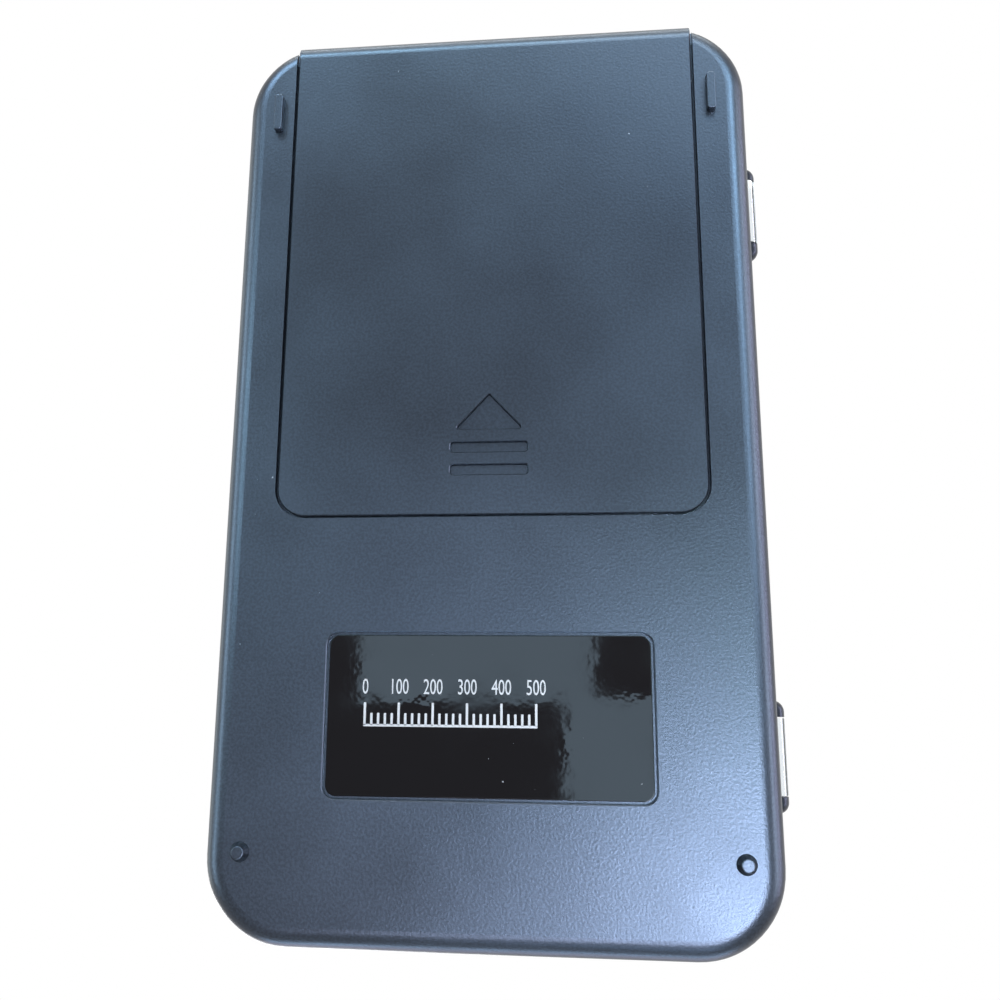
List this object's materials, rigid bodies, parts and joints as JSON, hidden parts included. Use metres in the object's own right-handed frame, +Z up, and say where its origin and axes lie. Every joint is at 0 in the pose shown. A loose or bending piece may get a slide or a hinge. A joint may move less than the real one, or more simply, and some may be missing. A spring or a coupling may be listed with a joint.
{
  "type": "digital gram scale",
  "caption": "Flat pocket scale for weighing small amounts of clay, stain or glaze, with a folding clear lid, a steel platform, a display and keys, and a sliding battery door.",
  "frame": {"origin": "middle of the whole footprint, hinge barrels included, on the plane that the feet stand on", "axes": "+Z up, +Y from the keys towards the weighing platform, +X away from the lid's hinge"},
  "size_m": [0.069, 0.116, 0.02],
  "materials": {
    "case": "fine-textured black ABS",
    "label": "glossy black film",
    "clear": "clear polystyrene",
    "steel": "zinc-plated steel",
    "pan_steel": "brushed stainless steel",
    "tape": "white foam tape",
    "support": "black ABS",
    "beam_aluminium": "milled aluminium",
    "gauge_foil": "amber film with foil",
    "fine_wire": "insulated wire",
    "lead_wire": "insulated wire",
    "display": "liquid crystal display",
    "light_guide": "light guide",
    "rubber": "silicone",
    "board": "green circuit board",
    "resin": "black potting resin",
    "chip": "ceramic chip parts",
    "switch": "black nylon",
    "cell": "printed jacket",
    "contact": "nickel-plated spring steel",
    "key": "smooth black keycaps"
  },
  "bodies": {
    "case": {"bottom_shell": "case", "rating_label": "label", "top_shell": "case", "hinge_pins": "steel", "load_cell": "beam_aluminium", "strain_gauges": "gauge_foil", "load_cell_base_screws": "steel", "load_cell_wires": "fine_wire", "battery_leads": "lead_wire", "case_screws": "steel", "display_window": "clear", "lcd_glass": "display", "lcd_frame": "support", "backlight": "light_guide", "zebra_strip": "rubber", "main_board": "board", "board_screws": "steel", "controller_blob": "resin", "board_components": "chip", "switch_bodies": "switch", "cell_left": "cell", "cell_right": "cell", "spring_contact_left": "contact", "spring_contact_right": "contact", "plate_contact_left": "contact", "plate_contact_right": "contact"},
    "lid": {"lid": "clear"},
    "battery_door": {"battery_door": "case"},
    "platform": {"weighing_platform": "pan_steel", "platform_tape": "tape", "platform_support": "support", "load_cell_top_screws": "steel"},
    "key_power": {"key_power": "key", "plunger_power": "switch"},
    "key_mode": {"key_mode": "key", "plunger_mode": "switch"},
    "key_tare": {"key_tare": "key", "plunger_tare": "switch"},
    "key_count": {"key_count": "key", "plunger_count": "switch"}
  },
  "joints": [
    {"name": "lid_hinge", "type": "hinge", "parent": "case", "child": "lid", "pos_m": [-0.0327, 0, 0.01445], "axis": [0, -1, 0], "range_deg": [0, 186]},
    {"name": "battery_door_slide", "type": "slide", "parent": "case", "child": "battery_door", "axis": [0, 1, 0], "range_m": [0, 0.07]},
    {"name": "platform_press", "type": "slide", "parent": "case", "child": "platform", "axis": [0, 0, -1], "range_m": [0, 0.0005], "stiffness_N_per_m": 8000, "deforming": ["load_cell"]},
    {"name": "key_power_press", "type": "slide", "parent": "case", "child": "key_power", "axis": [0, 0, -1], "range_m": [0, 0.0004], "stiffness_N_per_m": 400},
    {"name": "key_mode_press", "type": "slide", "parent": "case", "child": "key_mode", "axis": [0, 0, -1], "range_m": [0, 0.0004], "stiffness_N_per_m": 400},
    {"name": "key_tare_press", "type": "slide", "parent": "case", "child": "key_tare", "axis": [0, 0, -1], "range_m": [0, 0.0004], "stiffness_N_per_m": 400},
    {"name": "key_count_press", "type": "slide", "parent": "case", "child": "key_count", "axis": [0, 0, -1], "range_m": [0, 0.0004], "stiffness_N_per_m": 400}
  ]
}
